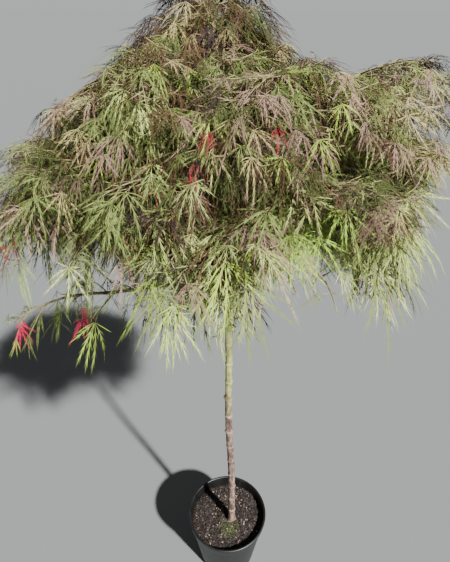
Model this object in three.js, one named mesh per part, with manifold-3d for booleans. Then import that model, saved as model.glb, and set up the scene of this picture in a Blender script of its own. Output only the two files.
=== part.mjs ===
// A weeping laceleaf maple, grafted as a small standard tree and grown in a round nursery pot.
// Millimetres, +Z up. The origin is the centre of the pot's flat underside, and -Y is the front.
import * as THREE from 'three';
import { mergeVertices } from 'three/addons/utils/BufferGeometryUtils.js';
import Module from 'manifold-3d';

const wasm = await Module();
wasm.setup();

// Where two pieces meet they keep this gap, and foliage passes a limb by more
const seatGap = 0.3;
const passGap = 0.6;
// Corners closer than this are one corner
const weldGap = 1e-4;

// The pot: a tapered wall with a flat floor, and a deeper band that stiffens the rim
const pot = {
  height: 235, rimRadius: 125, footRadius: 89.5, wall: 3, floor: 4,
  bandHeight: 24, bandStep: 3.5, bandSlope: 1, footRound: 5, sides: 36,
};
// The potting mix, just below the rim: a flat top round the trunk and a slight dish towards the wall
const soil = { top: 210, flatRadius: 52, dish: 5, midDish: 1.8, sides: 24 };

// The trunk: its foot stands a little off the pot's centre, and it leans back over it higher up
const trunk = {
  foot: [14, -9], head: [1, -2], headHeight: 1430,
  leanFrom: 340, leanTo: 820, sway: 1.6, swayLength: 520,
  footRadius: 10.4, midRadius: 8.4, headRadius: 5.6, midHeight: 900,
  flare: 5.5, flareHeight: 16, flareRoots: 3, flareTurn: 0.6, flareWave: 0.4, flareRings: [0, 5, 12, 24, 42],
  joints: 11, firstJoint: 268, jointSpacing: 62, jointSwell: 1.3, jointLength: 7,
  sides: 10, headSteps: 5,
};

// The crown is rounder than it is deep: every reach is drawn in by this share towards front and back
const crownDepth = 0.84;
// Its tiers from the top down. A bough leaves the trunk between the two fork heights. The mass of leaves
// starts at the bough's tip, bends over at bend and hangs to end, each as [reach from the trunk, height].
// The ends at the two sides of a tier are lifted by sideLift, because the skirt hangs lowest in front,
// and near the bearing of its long side a tier reaches further by a share. A mass has its number of
// twigs, and its fullness is their share of the full length.
const tiers = [
  { name: 'upper', count: 5, bearing: 6, forks: [1352, 1412], sideLift: 0, longSide: [6, 0.42],
    tip: [112, 1492], bend: [196, 1590], end: [274, 1478], twigs: 5, fullness: 1 },
  { name: 'middle', count: 7, bearing: 8, forks: [1222, 1312], sideLift: 44, longSide: [8, 0],
    tip: [232, 1364], bend: [312, 1414], end: [372, 1324], twigs: 5, fullness: 1 },
  { name: 'skirt', count: 5, bearing: 52, forks: [1128, 1192], sideLift: 36, longSide: [340, 0.46],
    tip: [126, 1242], bend: [200, 1284], end: [250, 1202], twigs: 5, fullness: 1 },
  { name: 'shoot', count: 1, bearing: 201, forks: [1100, 1100], sideLift: 0, longSide: [201, 0],
    tip: [258, 1160], bend: [350, 1178], end: [420, 1132], twigs: 3, fullness: 0.5 },
];
// No two boughs of a tier are alike: each is moved up or down and drawn out or in by this much. Round
// the trunk they fork from it at every third of their heights, so that neighbours lie well apart
const unevenness = { height: 14, reach: 0.05, forkOrder: 3 };
// How sharply a tier's longer reach falls off to both sides of its long side's bearing
const longSidePower = 4;
const bough = {
  rootRadius: 5.8, tipRadius: 4.4, sides: 6, steps: 5,
  climb: 0.62, rise: 0.75, rootPull: 0.6, tipPull: 0.3,
};
// The crest stands on the trunk's own head and spreads its twigs all round, a turn in degrees apart
const crest = { height: 186, lean: 34, bearing: 190, turn: 137.5, firstTwig: 0.42, twigs: 7, fullness: 1 };

// A mass's stem and its side twigs are three-sided. Leaves sit at shares of their length, and whatever
// sits on a limb is rooted between these two shares of it, so that it sinks well in
const stem = { rootRadius: 4.4, tipRadius: 2.2, steps: 4, leaves: [1, 0.24, 0.6] };
const rooting = [0.08, 0.97];
const twig = {
  first: 0.14, last: 0.92, stationVary: 0.25, length: 124, shorten: 0.3, vary: 0.15,
  spread: 54, spreadVary: 12, lift: 0.1, arch: 0.55, sag: 0.22,
  rootRadius: 2, tipRadius: 1.3, steps: 2, leaves: [1, 0.38, 0.7],
};
const twigSides = 3;
// The draws of a twig's leaves are numbered from this many times its own number
const leavesApart = 10;
// A leaf stands for several: narrow lobes, each as [angle, share of the length], that fan from the end
// of its stalk and droop. Notches part them, and the blade narrows over a shoulder to the stalk
const leaf = {
  length: 98, vary: 0.2, stalk: 20, thickness: 4.2, droop: 0.45, slope: 0.4, slopeVary: 0.5,
  lobes: [[-86, 0.6], [-42, 0.86], [0, 1], [42, 0.86], [86, 0.6]], notch: 0.12,
  shoulder: 0.065, shoulderAngle: 150,
  // The stalk's heading on a twig's side, its steepest climb, and how far it sinks
  aside: [0.6, 0.85], climb: 0.25, stalkSag: 0.25, smallest: 0.55,
};
// A twig or leaf that doesn't fit is tried again smaller and turned, each as [share of its size, turn in
// degrees], and then left out
const tries = [[1, 0], [0.86, 24], [0.86, -24], [0.7, 0], [0.62, 45], [0.62, -45]];
// Each mass keeps to the space that is nearer its own middle than any other's. The middle lies at a
// share of its stem, and lower than that because leaves hang
const middle = { share: 0.5, hang: 62, crestShare: 0.9, crestHang: 10 };

const colours = {
  pot: 0x2b2d2e, soil: 0x3a2c22, bark: 0x8d7a5c, bough: 0x6f6a45,
  leaves: [0x8f9b5c, 0x7b8450, 0x9a7a64, 0xa4b06a, 0x86604f],
};

const up = new THREE.Vector3(0, 0, 1);
const { clamp, degToRad, lerp, mapLinear, smoothstep } = THREE.MathUtils;

// A seeded draw between 0 and 1 for one use on one part of one mass, whatever was drawn before it
function draw(mass, part, purpose) {
  let n = Math.imul(mass + 1, 0x9e3779b1) ^ Math.imul(part + 1, 0x85ebca6b);
  n ^= Math.imul(purpose + 1, 0xc2b2ae35);
  n = Math.imul(n ^ (n >>> 15), 0x2c1b3c6d);
  n = Math.imul(n ^ (n >>> 12), 0x297a2d39);
  return ((n ^ (n >>> 15)) >>> 0) / 2 ** 32;
}

// What each draw is used for
const use = { height: 0, reach: 1, station: 2, spread: 3, twigLength: 4, slope: 5, leafLength: 6 };
const swing = (mass, part, purpose) => 2 * draw(mass, part, purpose) - 1;

const along = (start, direction, distance) => start.clone().addScaledVector(direction, distance);

// The unit direction of a weighted sum of vectors
function blend(...terms) {
  const sum = new THREE.Vector3();
  for (const [vector, weight] of terms) sum.addScaledVector(vector, weight);
  return sum.normalize();
}

// The level direction across a limb, to its right as one looks along it
const acrossOf = (tangent) => new THREE.Vector3().crossVectors(tangent, up).normalize();

// Closed meshes, solids and limbs

function solidFrom(geometry) {
  const bare = geometry.clone();
  bare.deleteAttribute('normal');
  bare.deleteAttribute('uv');
  const merged = mergeVertices(bare, weldGap);
  const index = merged.index.array;
  const faces = [];
  for (let i = 0; i < index.length; i += 3) {
    const [a, b, c] = [index[i], index[i + 1], index[i + 2]];
    if (a !== b && b !== c && c !== a) faces.push(a, b, c);
  }
  return new wasm.Manifold(new wasm.Mesh({
    numProp: 3,
    vertProperties: new Float32Array(merged.attributes.position.array),
    triVerts: new Uint32Array(faces),
  }));
}

function geometryFrom(solid) {
  const mesh = solid.getMesh();
  const geometry = new THREE.BufferGeometry();
  geometry.setAttribute('position', new THREE.BufferAttribute(mesh.vertProperties, 3));
  geometry.setIndex(new THREE.BufferAttribute(mesh.triVerts, 1));
  geometry.computeVertexNormals();
  return geometry;
}

// The one body that is left of a cut or a union: loose scraps go, and so do the walls of sealed hollows
function mainBody(solid) {
  return solid.decompose().reduce((best, body) => (body.volume() > best.volume() ? body : best));
}

function geometryOf(points, faces) {
  const geometry = new THREE.BufferGeometry();
  geometry.setFromPoints(points);
  geometry.setIndex(faces);
  geometry.computeBoundingBox();
  return geometry;
}

// Rings of points joined side by side, with a flat cap at each end
function loft(rings) {
  const sides = rings[0].length;
  const faces = [];
  for (let ring = 0; ring + 1 < rings.length; ring += 1) {
    for (let i = 0; i < sides; i += 1) {
      const [a, b] = [ring * sides + i, ring * sides + (i + 1) % sides];
      faces.push(a, b, b + sides, a, b + sides, a + sides);
    }
  }
  const end = (rings.length - 1) * sides;
  for (let i = 1; i + 1 < sides; i += 1) {
    faces.push(0, i + 1, i, end, end + i, end + i + 1);
  }
  return geometryOf(rings.flat(), faces);
}

// A limb: a round section that tapers along a curve, carried from step to step without twisting
function limb(curve, rootRadius, tipRadius, sides, steps) {
  const rings = [];
  let across = new THREE.Vector3(1, 0.37, 0.21);
  for (let step = 0; step <= steps; step += 1) {
    const t = step / steps;
    const tangent = curve.getTangent(t);
    across = across.clone().addScaledVector(tangent, -across.dot(tangent)).normalize();
    const other = new THREE.Vector3().crossVectors(tangent, across);
    const radius = lerp(rootRadius, tipRadius, t);
    const ring = [];
    for (let i = 0; i < sides; i += 1) {
      const angle = 2 * Math.PI * i / sides;
      const rim = along(curve.getPoint(t), across, radius * Math.cos(angle));
      ring.push(rim.addScaledVector(other, radius * Math.sin(angle)));
    }
    rings.push(ring);
  }
  return loft(rings);
}

// The place at t on a limb's own axis, which runs straight from ring to ring
function onLimb(curve, steps, t) {
  const step = Math.min(Math.floor(t * steps), steps - 1);
  return curve.getPoint(step / steps).lerp(curve.getPoint((step + 1) / steps), t * steps - step);
}

// A round piece turned about the upright axis from its [radius, height] profile
function turned(profile, sides) {
  const points = profile.map(([radius, z]) => new THREE.Vector2(radius, z));
  return new THREE.LatheGeometry(points, sides).rotateX(Math.PI / 2);
}

// Pot and potting mix

const potTaper = (pot.rimRadius - pot.bandStep - pot.footRadius) / pot.height;
const potOuter = (z) => pot.rimRadius - pot.bandStep - potTaper * (pot.height - z);
const potInner = (z) => potOuter(z) - pot.wall;

function potGeometry() {
  const bandFoot = pot.height - pot.bandHeight;
  return turned([
    [0, 0], [potOuter(0) - pot.footRound, 0], [potOuter(0), pot.footRound], [potOuter(bandFoot), bandFoot],
    [pot.rimRadius - potTaper * pot.bandHeight, bandFoot + pot.bandSlope], [pot.rimRadius, pot.height],
    [potInner(pot.height), pot.height], [potInner(pot.floor), pot.floor], [0, pot.floor],
  ], pot.sides);
}

function soilGeometry() {
  // The pot's round wall has flat sides, so the mix is drawn in by the depth of the flats
  const flats = Math.cos(Math.PI / pot.sides);
  const wall = (z) => (potInner(z) - seatGap) * flats;
  const edge = soil.top - soil.dish;
  const foot = pot.floor + seatGap;
  return turned([
    [0, foot], [wall(pot.floor), foot], [wall(edge), edge],
    [(wall(edge) + soil.flatRadius) / 2, soil.top - soil.midDish], [soil.flatRadius, soil.top], [0, soil.top],
  ], soil.sides);
}

// Trunk

function trunkAxis(z) {
  const lean = smoothstep(z, trunk.leanFrom, trunk.leanTo);
  const sway = trunk.sway * lean * Math.sin(2 * Math.PI * (z - soil.top) / trunk.swayLength);
  const x = lerp(trunk.foot[0], trunk.head[0], lean) + sway;
  const y = lerp(trunk.foot[1], trunk.head[1], lean);
  return new THREE.Vector3(x, y, z);
}

function trunkRadius(z, angle) {
  const { footRadius, midRadius, headRadius, midHeight, headHeight } = trunk;
  const taper = z < midHeight
    ? mapLinear(z, soil.top, midHeight, footRadius, midRadius)
    : mapLinear(z, midHeight, headHeight, midRadius, headRadius);
  const wave = Math.cos(trunk.flareRoots * angle + trunk.flareTurn);
  const roots = 1 + trunk.flareWave * (wave - 1);
  return taper + trunk.flare * roots * Math.exp((soil.top - z) / trunk.flareHeight);
}

// The trunk with its root flare and the swollen joints that its old buds left, grown by a clearance.
// Its rings are level, so that its foot is a flat cut on the potting mix
function trunkGeometry(grow) {
  const levels = trunk.flareRings.map((rise) => [soil.top + seatGap + rise, 0]);
  for (let joint = 0; joint < trunk.joints; joint += 1) {
    const z = trunk.firstJoint + joint * trunk.jointSpacing;
    levels.push([z - trunk.jointLength, 0], [z, trunk.jointSwell], [z + trunk.jointLength, 0]);
  }
  const top = levels.at(-1)[0];
  for (let step = 1; step <= trunk.headSteps; step += 1) {
    levels.push([lerp(top, trunk.headHeight, step / trunk.headSteps), 0]);
  }
  return loft(levels.map(([z, swell]) => {
    const ring = [];
    for (let i = 0; i < trunk.sides; i += 1) {
      const angle = 2 * Math.PI * i / trunk.sides;
      const out = new THREE.Vector3(Math.cos(angle), Math.sin(angle), 0);
      ring.push(along(trunkAxis(z), out, trunkRadius(z, angle) + swell + grow));
    }
    return ring;
  }));
}

// The crown's plan: boughs, and the stems of the masses

// A place in the crown from its bearing in degrees and its [reach from the trunk, height]
function place(bearing, [reach, height]) {
  const angle = degToRad(bearing);
  const out = new THREE.Vector3(Math.cos(angle), crownDepth * Math.sin(angle), 0);
  return along(trunkAxis(trunk.headHeight), out, reach).setZ(height);
}

function crestPlan() {
  const head = trunkAxis(trunk.headHeight);
  const end = place(crest.bearing, [crest.lean, trunk.headHeight + crest.height]);
  return {
    ...crest, name: 'crest', boughCurve: null,
    stemCurve: new THREE.QuadraticBezierCurve3(
      along(head, up, seatGap), along(head, up, crest.height / 2), end),
  };
}

// One bough of a tier and the mass that it carries, whose stem goes on from the bough's tip
function boughPlan(tier, mass, i) {
  const bearing = tier.bearing + 360 * i / tier.count;
  const order = (i * unevenness.forkOrder) % tier.count;
  const fork = trunkAxis(lerp(...tier.forks, order / Math.max(tier.count - 1, 1)));
  const lift = tier.sideLift * Math.cos(degToRad(bearing)) ** 2;
  const [longBearing, longShare] = tier.longSide;
  const facing = Math.max(0, Math.cos(degToRad(bearing - longBearing)));
  const stretch = longShare * facing ** longSidePower;
  const shift = unevenness.height * swing(mass, 0, use.height);
  const grow = 1 + stretch + unevenness.reach * swing(mass, 0, use.reach);
  const at = ([reach, height], rise) => place(bearing, [reach * grow, height + shift + rise]);
  const [tip, bend, end] = [at(tier.tip, 0), at(tier.bend, lift / 2), at(tier.end, lift)];
  const heading = blend([bend, 1], [tip, -1]);
  const climb = bough.climb * tip.distanceTo(fork);
  const leave = blend([place(bearing, [1, 0]), 1], [place(bearing, [0, 0]), -1], [up, bough.rise]);
  return {
    ...tier, name: tier.count > 1 ? `${tier.name}_${i + 1}` : tier.name, turn: 0, firstTwig: twig.first,
    boughCurve: new THREE.CubicBezierCurve3(
      fork, along(fork, leave, bough.rootPull * climb), along(tip, heading, -bough.tipPull * climb), tip),
    stemCurve: new THREE.QuadraticBezierCurve3(along(tip, heading, seatGap), bend, end),
  };
}

function crownPlan() {
  const plan = [crestPlan()];
  for (const tier of tiers) {
    for (let i = 0; i < tier.count; i += 1) plan.push(boughPlan(tier, plan.length, i));
  }
  return plan;
}

// Twigs and leaves

// One side twig of a mass, as a function that gives its curve for a share of its full size and a turn.
// Twigs leave the stem left and right in turn, or all round it on the crest, and sag with their length
function sideTwig(mass, part, { stemCurve, turn, firstTwig, twigs, fullness }) {
  const share = (part + twig.stationVary * swing(mass, part, use.station)) / (twigs - 1);
  const station = clamp(lerp(firstTwig, twig.last, share), ...rooting);
  const start = onLimb(stemCurve, stem.steps, station);
  const tangent = stemCurve.getTangent(station);
  const round = degToRad(turn * part);
  const across = turn ? new THREE.Vector3(Math.cos(round), Math.sin(round), 0) : acrossOf(tangent);
  const side = turn || part % 2 === 0 ? 1 : -1;
  const angle = degToRad(twig.spread + twig.spreadVary * swing(mass, part, use.spread));
  const out = blend([tangent, Math.cos(angle)], [across, side * Math.sin(angle)], [up, twig.lift]);
  const vary = 1 + twig.vary * swing(mass, part, use.twigLength);
  const full = twig.length * fullness * vary * (1 - twig.shorten * station);
  return (size, turned) => {
    const heading = out.clone().applyAxisAngle(up, degToRad(turned));
    const length = full * size;
    const end = along(start, heading, length).addScaledVector(up, -twig.sag * length);
    return new THREE.QuadraticBezierCurve3(start, along(start, heading, twig.arch * length), end);
  };
}

// A leaf from its root in a twig: the end of its stalk, the direction of its middle lobe, the way that
// its upper face looks, and its length. It hangs on one side of the twig, -1 or 1, or 0 at its end
function leafPose(mass, part, root, tangent, side, size, turned) {
  const [onward, outward] = side ? leaf.aside : [1, 0];
  const heading = blend([tangent, onward], [acrossOf(tangent), side * outward]);
  heading.applyAxisAngle(up, degToRad(turned));
  heading.z = Math.min(heading.z, leaf.climb);
  const hub = along(root, blend([heading, 1], [up, -leaf.stalkSag]), leaf.stalk);
  const lobe = blend([heading, 1], [up, -leaf.slope - leaf.slopeVary * draw(mass, part, use.slope)]);
  const face = blend([up, 1], [lobe, -lobe.z]);
  const length = leaf.length * size * (1 + leaf.vary * swing(mass, part, use.leafLength));
  return { hub, lobe, face, length };
}

// A leaf blade: its outline runs from the stalk's root round the lobes' tips and the notches between
// them, and two apexes over and under the stalk's end give it its thickness
function leafGeometry(root, { hub, lobe, face, length }) {
  const side = new THREE.Vector3().crossVectors(face, lobe);
  const reach = (degrees, share) => {
    const angle = degToRad(degrees);
    const out = blend([lobe, Math.cos(angle)], [side, Math.sin(angle)]);
    return along(hub, blend([out, 1], [up, -leaf.droop * share]), length * share);
  };
  const outline = [root, reach(-leaf.shoulderAngle, leaf.shoulder)];
  leaf.lobes.forEach(([angle, share], i) => {
    if (i > 0) outline.push(reach((angle + leaf.lobes[i - 1][0]) / 2, leaf.notch));
    outline.push(reach(angle, share));
  });
  outline.push(reach(leaf.shoulderAngle, leaf.shoulder));
  const count = outline.length;
  const faces = [];
  for (let i = 0; i < count; i += 1) {
    const next = (i + 1) % count;
    faces.push(i, next, count, next, i, count + 1);
  }
  const half = leaf.thickness / 2;
  return geometryOf([...outline, along(hub, face, half), along(hub, face, -half)], faces);
}

// Fitting twigs and leaves in their mass's space

// True where all of a piece's points lie nearer this mass's middle than any other's, with room to spare
function keepsOwnSpace(geometry, mass, middles) {
  const points = geometry.attributes.position;
  const point = new THREE.Vector3();
  for (let i = 0; i < points.count; i += 1) {
    point.fromBufferAttribute(points, i);
    const own = point.distanceToSquared(middles[mass]);
    for (let other = 0; other < middles.length; other += 1) {
      if (other !== mass) {
        // The distance to the plane halfway between the two middles
        const between = middles[mass].distanceTo(middles[other]);
        const room = (point.distanceToSquared(middles[other]) - own) / (2 * between);
        if (room < passGap / 2) return false;
      }
    }
  }
  return true;
}

const piece = (geometry) => ({ geometry, box: geometry.boundingBox, solid: solidFrom(geometry) });

function touches(one, others) {
  return others.some((other) => other.box.intersectsBox(one.box)
    && !one.solid.intersect(other.solid).isEmpty());
}

// The first try of a shape that keeps the mass's space and clears the obstacles, or null
function firstFit(shape, mass, middles, obstacles) {
  for (const [size, turned] of tries) {
    const geometry = shape(size, turned);
    if (keepsOwnSpace(geometry, mass, middles)) {
      const found = piece(geometry);
      if (!touches(found, obstacles)) return { ...found, size, turned };
    }
  }
  return null;
}

// The stem of a mass and the side twigs that fit, each with its curve and the places of its leaves
function massTwigs(mass, plan, middles, limbs) {
  const entry = plan[mass];
  const carriers = [{
    ...piece(limb(entry.stemCurve, stem.rootRadius, stem.tipRadius, twigSides, stem.steps)),
    curve: entry.stemCurve, steps: stem.steps, leaves: stem.leaves, part: entry.twigs,
  }];
  for (let part = 0; part < entry.twigs; part += 1) {
    const curveFor = sideTwig(mass, part, entry);
    const shape = (size, turned) => limb(
      curveFor(size, turned), twig.rootRadius, twig.tipRadius, twigSides, twig.steps);
    const found = firstFit(shape, mass, middles, limbs);
    if (found) {
      const curve = curveFor(found.size, found.turned);
      carriers.push({ ...found, curve, steps: twig.steps, leaves: twig.leaves, part });
    }
  }
  return carriers;
}

// A mass: its twigs, and the leaves that fit and touch no other leaf and no twig but their own
function massGeometry(mass, plan, middles, limbs) {
  const carriers = massTwigs(mass, plan, middles, limbs);
  const leafScale = lerp(leaf.smallest, 1, plan[mass].fullness);
  const leaves = [];
  for (const carrier of carriers) {
    const others = carriers.filter((other) => other !== carrier);
    carrier.leaves.forEach((t, k) => {
      const root = onLimb(carrier.curve, carrier.steps, clamp(t, ...rooting));
      const tangent = carrier.curve.getTangent(t);
      const side = t === 1 ? 0 : (k + carrier.part) % 2 * 2 - 1;
      const part = leavesApart * carrier.part + k;
      const shape = (size, turned) => leafGeometry(
        root, leafPose(mass, part, root, tangent, side, size * leafScale, turned));
      const found = firstFit(shape, mass, middles, [...limbs, ...others, ...leaves]);
      if (found) leaves.push(found);
    });
  }
  const solids = [...carriers, ...leaves].map(({ solid }) => solid);
  return geometryFrom(mainBody(wasm.Manifold.union(solids)));
}

// The whole plant

const group = new THREE.Group();

function addNode(name, geometry, color, roughness) {
  const material = new THREE.MeshStandardMaterial({ color, roughness, metalness: 0, flatShading: true });
  const mesh = new THREE.Mesh(geometry, material);
  mesh.name = name;
  group.add(mesh);
}

addNode('pot', geometryFrom(solidFrom(potGeometry())), colours.pot, 0.45);
addNode('soil', geometryFrom(solidFrom(soilGeometry())), colours.soil, 0.95);
addNode('trunk', trunkGeometry(0), colours.bark, 0.8);

const plan = crownPlan();
const middles = plan.map(({ stemCurve, turn }) => {
  const [share, hang] = turn ? [middle.crestShare, middle.crestHang] : [middle.share, middle.hang];
  return along(stemCurve.getPoint(share), up, -hang);
});

// Each bough is cut clear of the trunk, and the foliage clears the trunk and boughs grown by passGap
const trunkRoom = solidFrom(trunkGeometry(seatGap));
const limbs = [piece(trunkGeometry(passGap))];
for (const { name, boughCurve } of plan) {
  if (boughCurve) {
    const shape = (grow) => limb(
      boughCurve, bough.rootRadius + grow, bough.tipRadius + grow, bough.sides, bough.steps);
    const body = mainBody(solidFrom(shape(0)).subtract(trunkRoom));
    addNode(`bough_${name}`, geometryFrom(body), colours.bough, 0.7);
    limbs.push(piece(shape(passGap)));
  }
}
plan.forEach(({ name }, mass) => {
  const color = colours.leaves[mass % colours.leaves.length];
  addNode(`mass_${name}`, massGeometry(mass, plan, middles, limbs), color, 0.6);
});

export default group;
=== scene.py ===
import math

import bpy
import numpy as np
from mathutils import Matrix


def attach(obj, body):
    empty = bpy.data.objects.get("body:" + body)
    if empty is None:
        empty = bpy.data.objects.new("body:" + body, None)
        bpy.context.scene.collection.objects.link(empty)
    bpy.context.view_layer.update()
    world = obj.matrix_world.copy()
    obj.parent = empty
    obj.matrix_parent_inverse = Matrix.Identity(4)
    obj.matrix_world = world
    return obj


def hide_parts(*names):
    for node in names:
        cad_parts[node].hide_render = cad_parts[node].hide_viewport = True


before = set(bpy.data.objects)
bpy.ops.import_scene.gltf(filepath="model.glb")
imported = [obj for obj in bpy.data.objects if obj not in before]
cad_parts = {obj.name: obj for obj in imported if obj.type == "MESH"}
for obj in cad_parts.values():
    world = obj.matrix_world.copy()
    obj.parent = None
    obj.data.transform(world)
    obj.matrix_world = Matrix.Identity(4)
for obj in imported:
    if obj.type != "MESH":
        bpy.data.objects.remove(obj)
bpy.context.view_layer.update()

# Looks of a weeping laceleaf maple, grown as a small standard tree in a nursery pot. The boughs, twigs and
# leaves follow the rule that shaped the solids, carried on to finer twigs. All working sizes here are
# millimetres in the frame's own axes, and a mesh is turned into metres when it is made.

METRES = 0.001
UP = np.array([0.0, 0.0, 1.0])

# The camera stands in front of the crown at about its top's height and looks down at the pot. Its lens is
# worked out from the focal length and the photograph's height in pixels, and the sensor's side
CAMERA_PLACE = (-0.007, -0.779, 1.62)
CAMERA_PITCH = 57.5
FOCAL_PIXELS, PHOTO_HEIGHT, SENSOR = 430, 562, 36
CAMERA_LENS = FOCAL_PIXELS * SENSOR / PHOTO_HEIGHT

# Named sizes of the plant: the same ones as the solids have, and a tier's side_reach and side_rise for the
# finer side stems that the solids leave out

POT = dict(height=235, rim=125, foot=89.5, wall=3, floor=4, band=24, step=3.5, slope=1, foot_round=5)
SOIL_TOP = 210
TRUNK = dict(
    foot=(14, -9), head=(1, -2), top=1430, lean=(340, 820), sway=1.6, sway_length=520,
    foot_radius=10.4, mid_radius=8.4, head_radius=5.6, mid_height=900,
    flare=5.5, flare_height=16, flare_roots=3, flare_turn=0.6, flare_wave=0.4,
    joints=11, first_joint=268, joint_spacing=62, joint_swell=1.3,
)
CROWN_DEPTH = 0.84
TIERS = [
    dict(name="upper", count=5, bearing=6, forks=(1352, 1412), lift=0, long=(6, 0.42), tip=(112, 1492),
         bend=(196, 1590), end=(274, 1478), twigs=5, fullness=1, side_reach=0.82, side_rise=4),
    dict(name="middle", count=7, bearing=8, forks=(1222, 1312), lift=44, long=(8, 0), tip=(232, 1364),
         bend=(312, 1414), end=(372, 1324), twigs=5, fullness=1, side_reach=0.82, side_rise=0),
    dict(name="skirt", count=5, bearing=52, forks=(1128, 1192), lift=36, long=(340, 0.46), tip=(126, 1242),
         bend=(200, 1284), end=(250, 1202), twigs=5, fullness=1, side_reach=0.64, side_rise=30),
    dict(name="shoot", count=1, bearing=201, forks=(1100, 1100), lift=0, long=(201, 0), tip=(258, 1160),
         bend=(350, 1178), end=(420, 1132), twigs=3, fullness=0.42, side_reach=0, side_rise=0),
]
UNEVEN_HEIGHT, UNEVEN_REACH = 14, 0.05
# Neighbouring boughs of a tier are this many places apart in the order of their forks' heights
FORK_STEP = 3
BOUGH = dict(climb=0.62, rise=0.75, root_pull=0.6, tip_pull=0.3)
# Side stems: where they leave a bough, how far round they turn in a tier of so many boughs, the share of
# that turn at their bend, how much their reach and rise vary, and how far above the crown's top line their
# bend may lie. A low stem's bend has another share of its rise
SIDE_STEM = dict(leaves_at=(0.55, 0.78), turn=38, tier=5, bend_turn=0.6, vary=0.13, rise_vary=34,
                 over_top=20, low_bend=0.3)
CREST = dict(name="crest", height=186, lean=34, bearing=190, turn=137.5, first=0.42, twigs=7, fullness=1)
# The crest's two finer stems: bearing, lean and height
CREST_SIDES = ((174, 118, 140), (16, 50, 118))
# More fine stems that hang low at the crown's left, front and right: the bough's number in the plan, and
# how far round, how far out and how far up each one ends as against its main stem
LOW_STEMS = ((10, -14, 1.05, -56), (9, 30, 1.0, -52), (4, 20, 1.08, -30),
             (5, -20, 1.08, -34), (5, -34, 0.98, -10), (4, 32, 1.13, -60), (5, -25, 1.16, -66),
             (17, -14, 0.9, -58), (17, -26, 0.8, -40))
TWIG = dict(first=0.14, last=0.92, wander=0.25, length=124, shorten=0.3, vary=0.15,
            spread=54, spread_vary=12, lift=0.1, arch=0.55, sag=0.22)

# What each seeded draw is used for: the first seven are the solids' own
HEIGHT, REACH, STATION, SPREAD, LENGTH, SLOPE, LEAF_LENGTH = range(7)
TINT, PETIOLE, CURL, FAN, DROOP, ROLL, SIZE, TWIST, TILT, FEW = range(20, 30)
SIDE_HEIGHT, SIDE_REACH = 80, 81
OWN_TINT, SPRAY_TINT, TURNED_TINT, SHADE_TINT = range(80, 84)
ONWARD_TURN, ONWARD_LENGTH = 93, 94
# The leaves in pairs have draws from here on: three for each station, by their side
PAIRS = 40
# Cells of noise are counted from here, so that no number is below zero. Each seed is so many cells on
FIRST_CELL, SEED_CELLS = 50000, 977


def draw(mass, part, use):
    """A seeded number from 0 to 1. Three whole numbers are each multiplied by a large odd number and
    combined bit by bit, and the result is mixed twice more in the same way."""
    a, b, c = (np.asarray(x, np.int64).astype(np.uint64) + np.uint64(1) for x in (mass, part, use))
    keep = np.uint64(0xFFFFFFFF)
    n = (a * np.uint64(0x9E3779B1) ^ b * np.uint64(0x85EBCA6B) ^ c * np.uint64(0xC2B2AE35)) & keep
    n = (n ^ n >> np.uint64(15)) * np.uint64(0x2C1B3C6D) & keep
    n = (n ^ n >> np.uint64(12)) * np.uint64(0x297A2D39) & keep
    return (n ^ n >> np.uint64(15)).astype(float) / 2.0 ** 32


def swing(mass, part, use):
    """A seeded number from -1 to 1."""
    return 2 * draw(mass, part, use) - 1


def mix(a, b, share):
    """The value at a share of the way from a to b."""
    return a + (b - a) * share


def column(values):
    """Numbers with one more axis, so that they multiply vectors."""
    return np.asarray(values, float)[..., None]


def xyz(x, y, z):
    """Vectors from their three numbers, any of which may be one for all."""
    return np.stack(np.broadcast_arrays(x, y, z), axis=-1)


def all_round(count):
    """Even angles all round."""
    return 2 * np.pi * np.arange(count) / count


def unit(vectors):
    """Each vector divided by its own length."""
    return vectors / np.linalg.norm(vectors, axis=-1, keepdims=True)


def across_of(tangent):
    """The level direction to the right of each direction: its cross product with the upright."""
    return unit(np.cross(tangent, UP))


def turned_about_up(vectors, degrees):
    """Vectors turned about the upright by an angle: x and y by its cosine and sine, z as it is."""
    c, s = np.cos(np.radians(degrees)), np.sin(np.radians(degrees))
    x, y, z = np.moveaxis(vectors, -1, 0)
    return xyz(c * x - s * y, s * x + c * y, z)


def bezier(controls, t):
    """Points at shares t of Bezier curves: neighbouring control points are mixed by t until one is left."""
    points = [controls[..., i, :] for i in range(controls.shape[-2])]
    while len(points) > 1:
        points = [mix(a, b, column(t)) for a, b in zip(points, points[1:])]
    return points[0]


def tangent_at(controls, t):
    """Unit tangents of Bezier curves: their derivative is a Bezier curve of the control points' steps."""
    return unit(bezier(np.diff(controls, axis=-2), t))


def noise(points, seed=0):
    """Smooth seeded noise from -1 to 1: draws at the eight corners of the unit cell round each point,
    weighted by smooth steps of the point's place in the cell."""
    cell = np.floor(points).astype(np.int64)
    share = points - cell
    share = share * share * (3 - 2 * share)
    cell = cell + FIRST_CELL
    total = np.zeros(points.shape[:-1])
    for corner in np.ndindex(2, 2, 2):
        weight = np.prod(np.where(np.array(corner) == 1, share, 1 - share), axis=-1)
        at = cell + np.array(corner)
        total += weight * swing(at[..., 0] + SEED_CELLS * seed, at[..., 1], at[..., 2])
    return total


# The plan of the crown, by the solids' own rule


def trunk_axis(z):
    """The trunk's middle at a height: it leans from foot to head over a smooth step, and sways by a
    sine of the height as far as it leans."""
    z = np.asarray(z, float)
    low, high = TRUNK["lean"]
    share = np.clip((z - low) / (high - low), 0, 1)
    lean = share * share * (3 - 2 * share)
    sway = TRUNK["sway"] * lean * np.sin(2 * np.pi * (z - SOIL_TOP) / TRUNK["sway_length"])
    x = mix(TRUNK["foot"][0], TRUNK["head"][0], lean) + sway
    y = mix(TRUNK["foot"][1], TRUNK["head"][1], lean)
    return xyz(x, y, z)


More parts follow.
